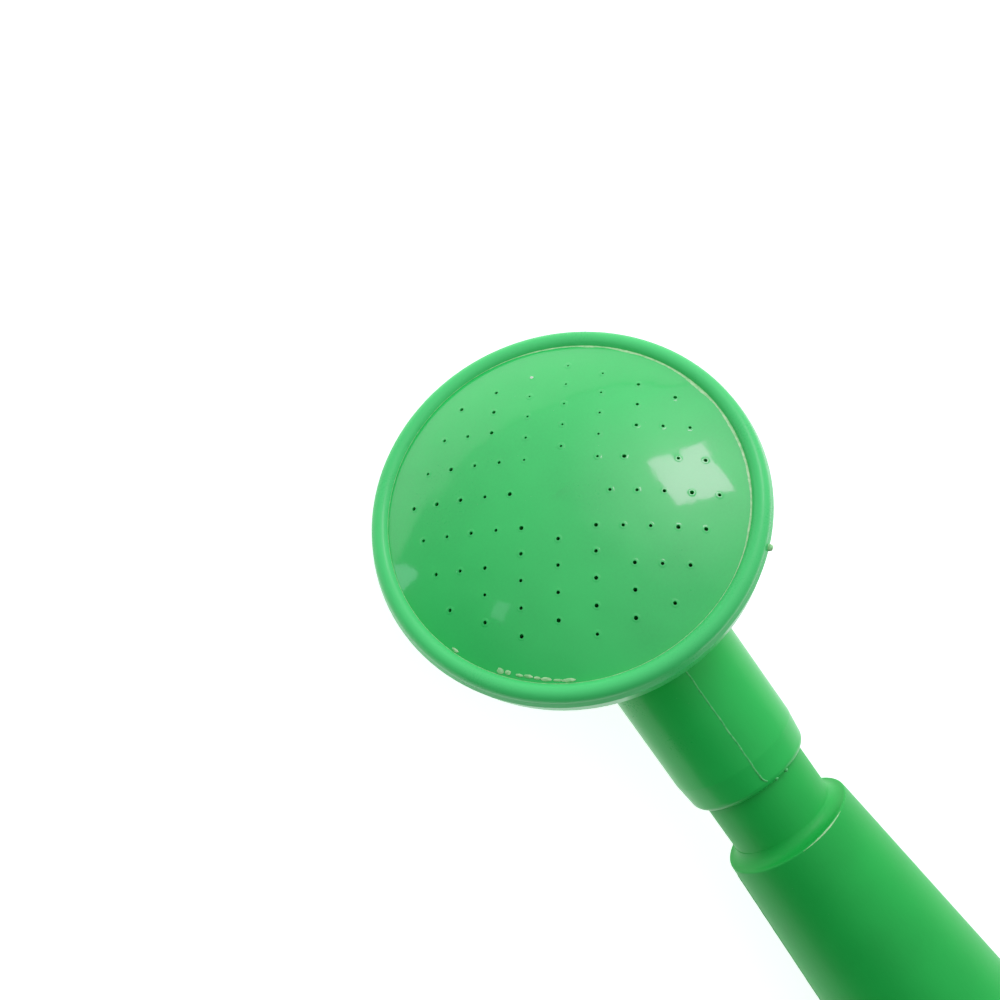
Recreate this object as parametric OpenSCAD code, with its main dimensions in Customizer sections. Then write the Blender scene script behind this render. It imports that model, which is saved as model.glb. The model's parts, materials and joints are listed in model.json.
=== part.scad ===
// Watering wand: a green plastic wand with a turning spray rose, a quarter-turn valve,
// a soft grip and a swivel nut for a garden hose. Millimetres, +Y from hose to rose, +Z up.
// The origin is the middle of the hose nut's open mouth.

/* [Rose] */
// Outside radius of the rim at its widest
rose_r = 41.7; // [41.5:0.1:43]
// Angle between the spray direction and the neck
rose_tilt = 53.3; // [48:0.1:58]
// Turn of the hole pattern about the rose's own axis
face_clock = -37.5; // [-90:0.1:0]
// Height of the dome's top over the rim's widest ring
dome_rise = 10.7; // [10.4:0.1:10.8]
// Radius of the dome's sphere
dome_r = 89.5; // [88:0.5:92]
// Diameter of a spray hole
hole_d = 1.1; // [0.8:0.1:1.6]
// Distance between neighbouring rows of holes
row_step = 7.5; // [7:0.1:7.6]
// Distance between the holes along a row
hole_step = 5.3; // [5:0.1:5.4]

/* [Neck] */
// Radius of the spigot that the rose is pushed over
spigot_r = 11.9; // [11.5:0.1:12.2]
// Outside radius of the rose's socket
socket_r = 14.45; // [14.2:0.05:15]
// Length of spigot left bare between shoulder and socket
spigot_bare = 14.7; // [12:0.1:18]
// Length of spigot inside the socket
spigot_in = 22; // [20:1:24]
// Distance from the shoulder to the middle of the rose
rose_reach = 81.9; // [80:0.1:90]
// Sideways lean of the spigot against the barrel
neck_yaw = 2.3; // [0:0.1:3]

/* [Barrel] */
// Radius of the barrel at its shoulder
shoulder_r = 14.95; // [14.8:0.05:15.4]
// Radius of the barrel at its rear end
barrel_rear_r = 22.5; // [22.4:0.1:23]
// Length of the barrel's tapered stretch
barrel_taper = 98; // [90:1:110]

/* [Handle] */
// Length of the handle tube between the tail's collar and the valve
handle_len = 125; // [120:1:150]
// Outside radius of the handle tube
tube_r = 15; // [14.8:0.1:15.2]
// Thickness of the soft sleeve at its thinnest
sleeve_t = 2.6; // [2.2:0.1:3]
// Length of one finger wave on the sleeve
wave_len = 24; // [20:1:28]

/* [Valve] */
// Radius of the valve ball
ball_r = 11; // [10.8:0.1:11.2]
// Radius of the waterway through the ball
port_r = 6.5; // [6:0.1:7]
// Reach of the thumb lever from its axis
lever_reach = 62; // [50:1:70]

/* [Hose connection] */
// Radius of the hose nut's thread, at its bottom
thread_r = 13.6; // [13.5:0.1:13.8]
// Length of the hose nut's thread
thread_len = 11.2; // [10:0.1:12]

/* [Hidden] */
$fn = 96;
eps = 0.01;
wall = 2;
big = 200;

green = "#3fc06a";
dark_green = "#1f6b3c";
rubber = "#202422";
steel = "#b8bcc0";
acetal = "#e9e9e2";

// Fits
running = 0.05;
clear = 0.4;

// Hose connection, from the mouth of the nut forwards
nut_r = 16.6;
nut_rib_r = 0.8;
nut_ribs = 24;
nut_len = 22;
relief_r = thread_r + 0.3;
relief_end = thread_len + 5.4;
washer_t = 2.8;
tail_flange_y = thread_len + washer_t;
tail_flange_t = 2.2;
tail_flange_r = 12.8;
tail_neck_r = 9.4;
tail_port_r = 6.5;
collar_y = 24.5;
collar_t = 3.5;

// Handle tube, from the collar forwards
tube_y = collar_y + collar_t;
tube_bore_r = 13;
tail_plug_len = 30;
tube_end_y = tube_y + handle_len;
tube_flange_t = 3;
tube_spigot_r = 14;
tube_spigot_len = 17;
tube_port_r = 10.5;
sleeve_y = 34;
sleeve_flare_r = 21.5;

// Valve
body_y = tube_end_y;
body_collar_r = 20.5;
body_collar_len = 23;
ball_y = body_y + 43;
body_r = 22;
cavity_r = ball_r + 1.2;
seat_t = 6.5;
seat_port_r = 7.2;
seat_gap = 6;
carrier_t = 7.5;
body_front_y = ball_y + 30;
body_thread_r = 19.5;
thread_y = ball_y + 15;
turret_r = 11;
turret_top = 30;
stop_ring_z = 27;
stop_ring_r = 14.6;
stem_r = 4.5;
stem_flange_r = 6.8;
stem_flange_z = 22;
gland_r = 8;
gland_top = 33.5;
drive_w = 6.4;
stem_top = 39.5;
hub_r = 10;
hub_z = 34;
hub_top = 42.5;
tang_w = 3;
stop_inner_r = 11.4;
stop_w = 4;
lever_sweep = 90;

// Barrel
barrel_y = thread_y + 0.6;
shoulder_y = body_front_y + 2 + barrel_taper;
barrel_rib_r = 0.9;
barrel_ribs = 30;
spigot_port_r = 9.7;
lip_r = 0.45;
cove_r = shoulder_r - lip_r - spigot_r;

// Rose
bead_r = 2;
bead_ring_r = rose_r - 2.4;
bead_z = 1.4;
skirt = 5;
skirt_r = rose_r - 1;
face_r = bead_ring_r - 1.7;
face_t = 1.8;
ledge_z = -1;
dish_z = -12;
dish_r = 20;
neck_drop = 4.4;
socket_end = rose_reach - spigot_bare;
socket_bottom = socket_end - spigot_in - 0.4;
socket_nose = 7;
socket_nose_r = socket_r - 0.55;
socket_round = 1.9;

// O-ring section radius by place
o_small = 0.565;
o_mid = 0.8;
o_large = 0.9;

// Hole pattern: [arm, row, hole] of the two holes that moulding flash has closed
closed_holes = [[3, 0, 4], [0, 1, 2]];

// ---------- frames ----------

// Turns +Z to the wand's +Y, y mm in front of the origin
module along(y = 0) {
  translate([0, y, 0]) rotate([-90, 0, 0]) children();
}

// Frame of the spigot: origin in the shoulder, +Z towards the rose
module neck() {
  translate([0, shoulder_y, 0]) rotate([0, 0, -neck_yaw]) rotate([-90, 0, 0]) children();
}

// Frame of the rose: origin in the rim's widest ring, +Z the spray direction
module rose() {
  neck()
    translate([0, 0, rose_reach])
    rotate([rose_tilt, 0, 0])
    translate([0, 0, neck_drop])
    children();
}

// Frame of the socket: origin where the neck meets the rose's axis, +Z back to the handle
module socket_frame() {
  neck() translate([0, 0, rose_reach]) mirror([0, 0, 1]) children();
}

// Frame of the valve stem: origin in the middle of the ball
module stem_frame() {
  translate([0, ball_y, 0]) children();
}

// ---------- shared shapes ----------

module ring(r_out, r_in, h) {
  difference() {
    cylinder(r = r_out, h = h);
    translate([0, 0, -1]) cylinder(r = r_in, h = h + 2);
  }
}

module o_ring(r_mid, r_section) {
  rotate_extrude() translate([r_mid, 0]) circle(r = r_section, $fn = 32);
}

// Groove for an O-ring in a shaft of radius r, w wide and down to radius r_in
module shaft_groove(r, r_in, w) {
  translate([0, 0, -w / 2]) ring(r + 1, r_in, w);
}

// ---------- rose ----------

// Places of the holes of one of the four arms, as [x, y]
function arm_holes(arm) = [
  for (i = [0:4]) if (!is_closed(arm, 0, i)) [row_step + hole_step * (i + 0.5), 0],
  for (side = [-1, 1]) for (i = [1:4])
    if (!is_closed(arm, side, i)) [row_step + hole_step * i, side * row_step],
  for (side = [-1, 1]) for (i = [1:2]) [2 * row_step + hole_step * i, 2 * side * row_step],
  for (i = [1:3]) [i * row_step, i * row_step]
];

function is_closed(arm, row, i) = len([for (c = closed_holes) if (c == [arm, row, i]) 1]) > 0;

module rose_face() {
  color(green)
  rose()
  difference() {
    intersection() {
      translate([0, 0, dome_rise - dome_r]) sphere(r = dome_r, $fn = 360);
      translate([0, 0, ledge_z]) cylinder(r = face_r, h = big);
    }
    intersection() {
      translate([0, 0, dome_rise - dome_r]) sphere(r = dome_r - face_t, $fn = 360);
      cylinder(r = face_r - face_t, h = big, center = true);
    }
    for (arm = [0:3])
      rotate([0, 0, face_clock + 90 * arm])
        for (p = arm_holes(arm))
          translate([p[0], p[1], ledge_z - 1]) cylinder(d = hole_d, h = 2 * dome_rise, $fn = 24);
  }
}

// Half section of the shell: dished back, skirt, and the bead round the face
module shell_section() {
  polygon([[0, dish_z], [dish_r, dish_z], [face_r, -skirt], [face_r, 0], [0, 0]]);
  polygon([
    [0, -skirt], [skirt_r, -skirt], [rose_r, 0], [bead_ring_r + bead_r, bead_z], [0, bead_z]
  ]);
  square([bead_ring_r, bead_z + bead_r / 2]);
  translate([bead_ring_r, bead_z]) circle(r = bead_r);
}

// Half section of the space inside the shell, the face's seat included
module shell_cavity_section() {
  inner_r = face_r - face_t - 0.8;
  polygon([
    [0, dish_z + wall], [dish_r - 1, dish_z + wall], [inner_r, -skirt + wall],
    [inner_r, ledge_z], [face_r, ledge_z], [face_r, big / 4], [0, big / 4]
  ]);
}

// Outside of the socket: a straight tube with a drawn-in, rounded end
module socket_outside() {
  rotate_extrude() {
    square([socket_r, socket_end - socket_nose]);
    polygon([
      [0, 0], [socket_r, socket_end - socket_nose], [socket_nose_r, socket_end - socket_round],
      [0, socket_end - socket_round]
    ]);
    square([socket_nose_r - socket_round, socket_end]);
    translate([socket_nose_r - socket_round, socket_end - socket_round]) circle(r = socket_round);
  }
  sphere(r = socket_r);
}

module rose_shell() {
  color(green)
  difference() {
    union() {
      rose() rotate_extrude() shell_section();
      socket_frame() socket_outside();
    }
    rose() rotate_extrude() shell_cavity_section();
    socket_frame() sphere(r = socket_r - wall - 0.5);
    socket_frame() translate([0, 0, 4]) cylinder(r = spigot_port_r, h = socket_end);
    socket_frame()
      translate([0, 0, socket_bottom]) cylinder(r = spigot_r + running, h = spigot_in + 2);
    seal_place() cylinder(r = spigot_r + 1.3, h = 2 * o_mid, center = true);
  }
}

// Middle of the groove in the socket
module seal_place() {
  neck() translate([0, 0, spigot_bare + 8]) children();
}

module rose_seal() {
  color(rubber) seal_place() o_ring(spigot_r + running / 2 + 0.62, 0.6);
}

// ---------- barrel ----------

// Half section of the barrel's outside, forwards of its threaded end
module barrel_section() {
  taper_y = body_front_y + 2 - barrel_y;
  nose_y = shoulder_y - barrel_y;
  square([barrel_rear_r, taper_y]);
  polygon([
    [0, taper_y], [barrel_rear_r, taper_y], [shoulder_r, nose_y - lip_r],
    [0, nose_y - lip_r]
  ]);
  square([shoulder_r - lip_r, nose_y]);
  translate([shoulder_r - lip_r, nose_y - lip_r]) circle(r = lip_r);
}

// Hollow fillet from the shoulder's lip up to the spigot
module spigot_cove() {
  rotate_extrude()
  difference() {
    translate([0, -1]) square([spigot_r + cove_r, cove_r + 1]);
    translate([spigot_r + cove_r, cove_r]) circle(r = cove_r);
  }
}

module barrel() {
  bore_end = body_front_y + 2 - barrel_y;
  color(green)
  difference() {
    union() {
      along(barrel_y) rotate_extrude() barrel_section();
      along(barrel_y) barrel_ribs();
      along(shoulder_y) spigot_cove();
      neck() translate([0, 0, -4]) cylinder(r = spigot_r, h = spigot_bare + spigot_in + 2.8);
      neck() translate([0, 0, spigot_bare + spigot_in - 1.2])
        cylinder(r1 = spigot_r, r2 = spigot_r - 0.8, h = 1.2);
    }
    along(barrel_y - 1) cylinder(r = body_thread_r, h = bore_end + 1);
    along(barrel_y + bore_end - eps)
      cylinder(r1 = barrel_rear_r - 3.4, r2 = shoulder_r - 3, h = barrel_taper - 6);
    neck() translate([0, 0, -8]) cylinder(r = spigot_port_r, h = big);
  }
}

// Grip ribs round the barrel's threaded end
module barrel_ribs() {
  rib_len = body_front_y - barrel_y - 3;
  for (i = [0:barrel_ribs - 1])
    rotate([0, 0, 360 / barrel_ribs * i])
      translate([barrel_rear_r - 0.1, 0, 2]) {
        cylinder(r = barrel_rib_r, h = rib_len, $fn = 24);
        sphere(r = barrel_rib_r, $fn = 24);
        translate([0, 0, rib_len]) sphere(r = barrel_rib_r, $fn = 24);
      }
}

module barrel_seal() {
  color(rubber) along(body_front_y - 4) o_ring(body_thread_r - o_mid, o_mid);
}

// ---------- valve ----------

// Half section of the valve body's outside, from its collar forwards
module body_section() {
  edge = 1.5;
  waist_y = body_collar_len;
  swell_y = thread_y - body_y;
  front = body_front_y - body_y;
  translate([0, edge]) square([body_collar_r, waist_y - edge]);
  square([body_collar_r - edge, waist_y]);
  translate([body_collar_r - edge, edge]) circle(r = edge);
  polygon([
    [0, waist_y], [body_collar_r, waist_y], [body_r, waist_y + 6], [body_r, swell_y],
    [0, swell_y]
  ]);
  square([body_thread_r, front]);
}

// Stem turret with its stop ring and the two stops
module turret() {
  cylinder(r = turret_r, h = turret_top);
  cylinder(r1 = stop_ring_r - 1.6, r2 = stop_ring_r, h = stop_ring_z);
  for (a = [-90 - stop_angle(), lever_sweep - 90 + stop_angle()])
    rotate([0, 0, a])
      translate([stop_inner_r, -stop_w / 2, stop_ring_z - eps])
        cube([stop_ring_r - stop_inner_r - 0.4, stop_w, gland_top - stop_ring_z - 0.5]);
}

// Angle between the middle of the lever's tab and the middle of a stop that it rests on
function stop_angle() = 2 * asin((stop_w / 2 + 0.15) / stop_inner_r);

module valve_body() {
  color(green)
  difference() {
    union() {
      along(body_y) rotate_extrude() body_section();
      stem_frame() turret();
    }
    along(body_y - 1) cylinder(r = tube_spigot_r, h = tube_spigot_len + 2);
    along(body_y) cylinder(r = seat_port_r, h = big);
    along(ball_y - seat_gap - seat_t) cylinder(r = cavity_r, h = big);
    along(body_front_y - 4) shaft_groove(body_thread_r, body_thread_r - 2 * o_mid, 2 * o_mid);
    stem_frame() cylinder(r = stem_r + running, h = big);
    stem_frame() translate([0, 0, stem_flange_z]) cylinder(r = gland_r, h = big);
    handle_screw_places() translate([0, 0, -1]) cylinder(r = 1.5, h = 20);
    handle_screw_places() translate([0, 0, body_collar_r - tube_port_r - 5])
      cylinder(r = 3, h = 20);
  }
}

module valve_ball() {
  color(acetal)
  stem_frame()
  difference() {
    sphere(r = ball_r);
    rotate([90, 0, 0]) cylinder(r = port_r, h = 3 * ball_r, center = true);
    translate([-ball_r, -tang_w / 2 - 0.1, ball_r - 2.6]) cube([2 * ball_r, tang_w + 0.2, 4]);
  }
}

// Seat ring on the +Z side of the ball's middle
module ball_seat() {
  difference() {
    translate([0, 0, seat_gap]) ring(cavity_r, seat_port_r, seat_t);
    sphere(r = ball_r + running);
  }
}

module front_ball_seat() {
  color(acetal) along(ball_y) ball_seat();
}

module rear_ball_seat() {
  color(acetal) along(ball_y) mirror([0, 0, 1]) ball_seat();
}

module seat_carrier() {
  color(dark_green)
  along(ball_y + seat_gap + seat_t)
  difference() {
    ring(cavity_r, seat_port_r, carrier_t);
    for (a = [0, 180])
      rotate([0, 0, a]) translate([seat_port_r - 1, -1.5, carrier_t - 2]) cube([10, 3, 4]);
  }
}

module valve_stem() {
  color(acetal)
  stem_frame()
  difference() {
    union() {
      translate([-3.6, -tang_w / 2, ball_r - 2.4]) cube([7.2, tang_w, 3.5]);
      translate([0, 0, ball_r + 0.4]) cylinder(r = stem_r, h = gland_top - ball_r);
      translate([0, 0, stem_flange_z + 0.1]) cylinder(r = stem_flange_r, h = 1.8);
      translate([-drive_w / 2, -drive_w / 2, gland_top])
        cube([drive_w, drive_w, stem_top - gland_top]);
    }
    translate([0, 0, 16]) shaft_groove(stem_r, stem_r - 2 * o_small + 0.03, 2 * o_small);
    translate([0, 0, stem_top - 8]) cylinder(r = 1.5, h = 10);
  }
}

module stem_seal() {
  color(rubber) stem_frame() translate([0, 0, 16]) o_ring(stem_r + 0.03 - o_small, o_small);
}

module stem_gland() {
  color(dark_green)
  stem_frame()
  difference() {
    union() {
      translate([0, 0, 24.3]) cylinder(r = gland_r, h = turret_top - 24.3 + eps);
      translate([0, 0, turret_top]) cylinder(r = hub_r + 0.6, h = 2.9, $fn = 6);
    }
    cylinder(r = stem_r + 0.1, h = big);
  }
}

// Plan of the thumb lever: hub, waist and thumb pad
module lever_plan() {
  circle(r = hub_r + 1);
  polygon([[-7, 0], [7, 0], [5, -lever_reach * 0.55], [-5, -lever_reach * 0.55]]);
  polygon([
    [-5, -lever_reach * 0.55 + eps], [5, -lever_reach * 0.55 + eps],
    [8, -lever_reach + 14], [-8, -lever_reach + 14]
  ]);
  translate([-8, -lever_reach + 8]) square([16, 6 + eps]);
  translate([0, -lever_reach + 8]) circle(r = 8);
}

// Side outline of the thumb lever, as [distance from the axis towards the thumb, height]
module lever_side() {
  polygon([
    [-hub_r - 2, hub_z], [hub_r, hub_z], [hub_r + 6, hub_z], [lever_reach - 14, hub_z - 7],
    [lever_reach + 2, hub_z - 5.5], [lever_reach + 2, hub_z - 1], [lever_reach - 14, hub_z - 2],
    [hub_r + 10, hub_top - 2], [hub_r, hub_top], [-hub_r - 2, hub_top]
  ]);
}

module valve_lever() {
  color(dark_green)
  stem_frame()
  difference() {
    union() {
      intersection() {
        linear_extrude(height = big) lever_plan();
        rotate([90, 0, -90]) translate([0, 0, -big / 2])
          linear_extrude(height = big) lever_side();
      }
      translate([-stop_w / 2, -stop_ring_r + 0.5, stop_ring_z + 0.6])
        cube([stop_w, stop_ring_r - stop_inner_r - 0.8, hub_z - stop_ring_z]);
    }
    translate([-drive_w / 2, -drive_w / 2, 0]) cube([drive_w, drive_w, stem_top]);
    cylinder(r = 2.2, h = big);
    translate([0, 0, stem_top + 0.8]) cylinder(r = 4.4, h = big);
  }
}

module lever_screw() {
  color(steel)
  stem_frame()
  difference() {
    union() {
      translate([0, 0, stem_top - 7]) cylinder(r = 1.5, h = 8);
      translate([0, 0, stem_top + 0.8]) cylinder(r = 3.8, h = 1.9);
    }
    for (a = [0, 90])
      rotate([0, 0, a]) translate([-2.4, -0.45, stem_top + 1.7]) cube([4.8, 0.9, 2]);
  }
}

// ---------- handle ----------

module handle_tube() {
  front = handle_len + tube_spigot_len;
  color(green)
  difference() {
    union() {
      along(tube_y) cylinder(r = tube_r, h = handle_len);
      along(tube_end_y - tube_flange_t) cylinder(r = sleeve_flare_r - 2.5, h = tube_flange_t);
      along(tube_y) cylinder(r = tube_spigot_r, h = front);
    }
    along(tube_y - 1) cylinder(r = tube_port_r, h = front + 2);
    along(tube_y - 1) cylinder(r = tube_bore_r, h = handle_len - 15);
    along(tube_end_y + 12) shaft_groove(tube_spigot_r, tube_spigot_r - 2 * o_mid, 2 * o_mid);
    handle_screw_places() cylinder(r = 1.5, h = 20);
  }
}

module handle_seal() {
  color(rubber) along(tube_end_y + 12) o_ring(tube_spigot_r - o_mid, o_mid);
}

// Four screws through the valve body's collar; +Z points out of the screw's head,
// and the origin is the tip of the screw
module handle_screw_places() {
  for (a = [45:90:315])
    along(tube_end_y + 6) rotate([0, 0, a]) translate([tube_port_r + 1, 0, 0])
      rotate([0, 90, 0]) children();
}

module handle_screws() {
  seat = body_collar_r - tube_port_r - 5;
  color(steel)
  handle_screw_places()
  difference() {
    union() {
      cylinder(r = 1.5, h = seat + 1);
      translate([0, 0, seat]) cylinder(r = 2.8, h = 2);
    }
    for (a = [0, 90])
      rotate([0, 0, a]) translate([-1.8, -0.35, seat + 1.2]) cube([3.6, 0.7, 2]);
  }
}

function sleeve_len() = tube_end_y - tube_flange_t - sleeve_y;

// Outside radius of the sleeve at t mm from its rear end
function sleeve_outside(t) =
  tube_r + sleeve_t + 0.9 * (1 - cos(360 * (t - 12) / wave_len))
  + 3.9 * exp(-pow(t / 11, 2))
  + 1.2 * exp(-pow((sleeve_len() - t) / 9, 2));

module grip_sleeve() {
  steps = 64;
  color(rubber)
  along(sleeve_y)
  rotate_extrude()
  polygon(concat(
    [[tube_r, 0]],
    [for (i = [0:steps]) [sleeve_outside(sleeve_len() * i / steps), sleeve_len() * i / steps]],
    [[tube_r, sleeve_len()]]
  ));
}

module grip_cap() {
  cap_r = sleeve_flare_r - 0.6;
  cap_len = sleeve_y - collar_y;
  edge = 2.5;
  color(dark_green)
  along(collar_y)
  rotate_extrude()
  difference() {
    union() {
      translate([0, edge]) square([cap_r, cap_len - edge]);
      square([cap_r - edge, cap_len]);
      translate([cap_r - edge, edge]) circle(r = edge);
    }
    translate([0, -1]) square([tube_r, cap_len + 2]);
  }
}

// ---------- hose connection ----------

module hose_tail() {
  plug_r = tube_bore_r;
  color(green)
  difference() {
    union() {
      along(tail_flange_y) cylinder(r = tail_flange_r, h = tail_flange_t);
      along(tail_flange_y) cylinder(r = tail_neck_r, h = collar_y + 1 - tail_flange_y);
      along(collar_y) cylinder(r = tube_r, h = collar_t);
      along(collar_y) cylinder(r = plug_r, h = collar_t + tail_plug_len);
    }
    along(0) cylinder(r = tail_port_r, h = tube_y + tail_plug_len + 1);
    along(tube_y + 20) shaft_groove(plug_r, plug_r - 2 * o_large, 2 * o_large);
  }
}

module tail_seal() {
  color(rubber) along(tube_y + 20) o_ring(tube_bore_r - o_large, o_large);
}

module hose_nut() {
  edge = 1.2;
  color(dark_green)
  difference() {
    union() {
      along(0) rotate_extrude() {
        translate([0, edge]) square([nut_r, nut_len - 2 * edge]);
        square([nut_r - edge, nut_len]);
        for (z = [edge, nut_len - edge]) translate([nut_r - edge, z]) circle(r = edge);
      }
      along(3) for (i = [0:nut_ribs - 1])
        rotate([0, 0, 360 / nut_ribs * i]) translate([nut_r - 0.1, 0, 0])
          cylinder(r = nut_rib_r, h = nut_len - 6, $fn = 24);
    }
    along(-1) cylinder(r = thread_r, h = thread_len + 1);
    along(thread_len) cylinder(r = relief_r, h = relief_end - thread_len);
    along(0) cylinder(r = tail_neck_r + clear, h = nut_len + 1);
  }
}

module hose_washer() {
  color(rubber) along(thread_len) ring(relief_r - clear, 8.5, washer_t);
}

module inlet_screen() {
  pitch = 2.3;
  color(steel)
  along(thread_len + 1)
  difference() {
    cylinder(r = 8.5, h = 0.8);
    for (i = [-3:3]) for (j = [-3:3])
      if (norm([i * pitch, j * pitch]) < 7.4)
        translate([i * pitch, j * pitch, -1]) cylinder(r = 0.8, h = 3, $fn = 24);
  }
}

rose_face();
rose_shell();
rose_seal();
barrel();
barrel_seal();
valve_body();
valve_ball();
front_ball_seat();
rear_ball_seat();
seat_carrier();
valve_stem();
stem_seal();
stem_gland();
valve_lever();
lever_screw();
handle_tube();
handle_seal();
handle_screws();
grip_sleeve();
grip_cap();
hose_tail();
tail_seal();
hose_nut();
hose_washer();
inlet_screen();
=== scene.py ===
"""Looks of the watering wand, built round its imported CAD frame. Metres, +Y from hose to rose, +Z up."""
import json
import math
import random

import bmesh
import bpy
from mathutils import Matrix, Vector, noise


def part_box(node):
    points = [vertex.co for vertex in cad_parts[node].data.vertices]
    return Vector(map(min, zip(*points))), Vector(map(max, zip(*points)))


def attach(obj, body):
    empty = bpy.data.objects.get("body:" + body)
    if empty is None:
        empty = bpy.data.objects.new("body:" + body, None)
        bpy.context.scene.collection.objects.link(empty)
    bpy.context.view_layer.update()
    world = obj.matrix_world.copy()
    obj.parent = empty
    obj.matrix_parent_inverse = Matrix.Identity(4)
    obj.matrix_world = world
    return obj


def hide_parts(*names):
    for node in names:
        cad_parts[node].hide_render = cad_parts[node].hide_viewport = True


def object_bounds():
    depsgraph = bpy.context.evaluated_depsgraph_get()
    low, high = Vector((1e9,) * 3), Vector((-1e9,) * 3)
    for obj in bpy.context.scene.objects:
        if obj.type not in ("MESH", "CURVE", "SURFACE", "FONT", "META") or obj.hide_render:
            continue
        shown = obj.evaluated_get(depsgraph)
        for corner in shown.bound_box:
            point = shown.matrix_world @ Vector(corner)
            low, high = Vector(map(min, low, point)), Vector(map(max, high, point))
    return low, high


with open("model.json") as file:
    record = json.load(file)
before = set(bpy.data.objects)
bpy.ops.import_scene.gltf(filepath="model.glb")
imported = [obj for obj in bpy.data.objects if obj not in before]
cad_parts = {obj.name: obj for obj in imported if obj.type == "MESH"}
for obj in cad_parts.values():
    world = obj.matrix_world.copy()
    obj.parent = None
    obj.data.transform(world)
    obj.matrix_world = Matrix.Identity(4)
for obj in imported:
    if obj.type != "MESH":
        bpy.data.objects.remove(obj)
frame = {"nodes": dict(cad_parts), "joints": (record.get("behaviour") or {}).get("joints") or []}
cad_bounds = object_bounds()
nodes = frame["nodes"]
joints = {joint["name"]: joint for joint in frame["joints"]}

MM = 0.001
UP = Vector((0, 0, 1))

# Sizes of the CAD parts that the added pieces lie on
ROSE_TILT = math.radians(53.3)
FACE_CLOCK = math.radians(-37.5)
NECK_DROP = 4.4 * MM
FACE_R = 37.6 * MM
DOME_RISE = 10.7 * MM
DOME_R = 89.5 * MM
ROW_STEP = 7.5 * MM
HOLE_STEP = 5.3 * MM
HOLE_R = 0.55 * MM
ROSE_R = 41.7 * MM
DISH_Z = -12 * MM
DISH_R = 20 * MM
SKIRT = 5 * MM
SOCKET_R = 14.45 * MM
# Holes as (arm, row, number): the two that are closed, and the one that scale has plugged
CLOSED_HOLES = ((3, 0, 4), (0, 1, 2))
LIMED_HOLE = (1, 1, 4)


# ---------- frames of the moving parts ----------

def frame_at(origin, z_axis, x_axis):
    """The matrix of a frame with that origin, +Z and +X."""
    y_axis = z_axis.cross(x_axis)
    turn = Matrix((x_axis, y_axis, z_axis)).transposed()
    return Matrix.Translation(origin) @ turn.to_4x4()


elbow = Vector(joints["rose_turn"]["pos_m"])
neck_axis = Vector(joints["rose_turn"]["axis"]).normalized()
neck_side = neck_axis.cross(UP)
spray_axis = math.cos(ROSE_TILT) * neck_axis + math.sin(ROSE_TILT) * UP
ROSE = frame_at(elbow + NECK_DROP * spray_axis, spray_axis, neck_side)
SOCKET = frame_at(elbow, -neck_axis, neck_side)
WAND = frame_at(Vector(joints["nut_turn"]["pos_m"]), Vector((0, 1, 0)), Vector((1, 0, 0)))
STEM = Matrix.Translation(Vector(joints["valve_turn"]["pos_m"]))


def farthest(node, along):
    """How far a CAD node reaches along a direction, counted from the wand's origin."""
    return max(v.co.dot(along) for v in nodes[node].data.vertices)


SOCKET_END = farthest("rose_shell", -neck_axis) + elbow.dot(neck_axis)


# ---------- camera, floor and light ----------

# The room's light: its strength everywhere, round the horizon, on the window's side and close to it
SKY_COLOUR = (0.86, 0.93, 1.0)
SKY_BASE = 0.03
SKY_HORIZON = 0.22
SKY_SIDE = 1.4
SKY_HALO = 0.8
FLOOR_GLOW = 0.8
FAR_FLOOR_GLOW = 0.35
# Azimuth and elevation of the window, in degrees
WINDOW_AT = (38.5, 32)
WINDOW_COLOUR = (1.0, 0.46, 0.92)
HALO_COLOUR = (0.95, 0.76, 0.97)
BLUE = (0.7, 0.85, 1.0)
SOFTBOX_AWAY = 1.2

# Both counted from the elbow, where the rose turns on the neck
CAMERA_AT = Vector((-35.86, 73.06, 336.17)) * MM
CAMERA_TARGET = Vector((-9.14, 12.83, 0)) * MM
# The direction over the floor that is up in the picture, in degrees from +X
CAMERA_UP = 52.16


def compass(azimuth, elevation):
    """The direction at those angles in degrees, counted from +X and from the floor."""
    az, el = math.radians(azimuth), math.radians(elevation)
    return Vector((math.cos(az) * math.cos(el), math.sin(az) * math.cos(el), math.sin(el)))


def add_camera():
    """The photograph's view, nearly straight down on the rose."""
    data = bpy.data.cameras.new("camera")
    data.lens = 60
    data.sensor_width = 36
    data.clip_start = 0.01
    camera = bpy.data.objects.new("camera", data)
    look = (CAMERA_TARGET - CAMERA_AT).normalized()
    right = look.cross(compass(CAMERA_UP, 0)).normalized()
    camera.matrix_world = frame_at(elbow + CAMERA_AT, -look, right)
    bpy.context.scene.collection.objects.link(camera)
    bpy.context.scene.camera = camera


def add_floor():
    """A plane under the wand that reaches to the horizon."""
    half = 40.0
    low = cad_bounds[0].z
    corners = [(x, y, low) for x, y in ((-half, -half), (half, -half), (half, half), (-half, half))]
    floor = mesh_object("floor", corners, [(0, 1, 2, 3)])
    floor.data.materials.append(floor_material())


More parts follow.
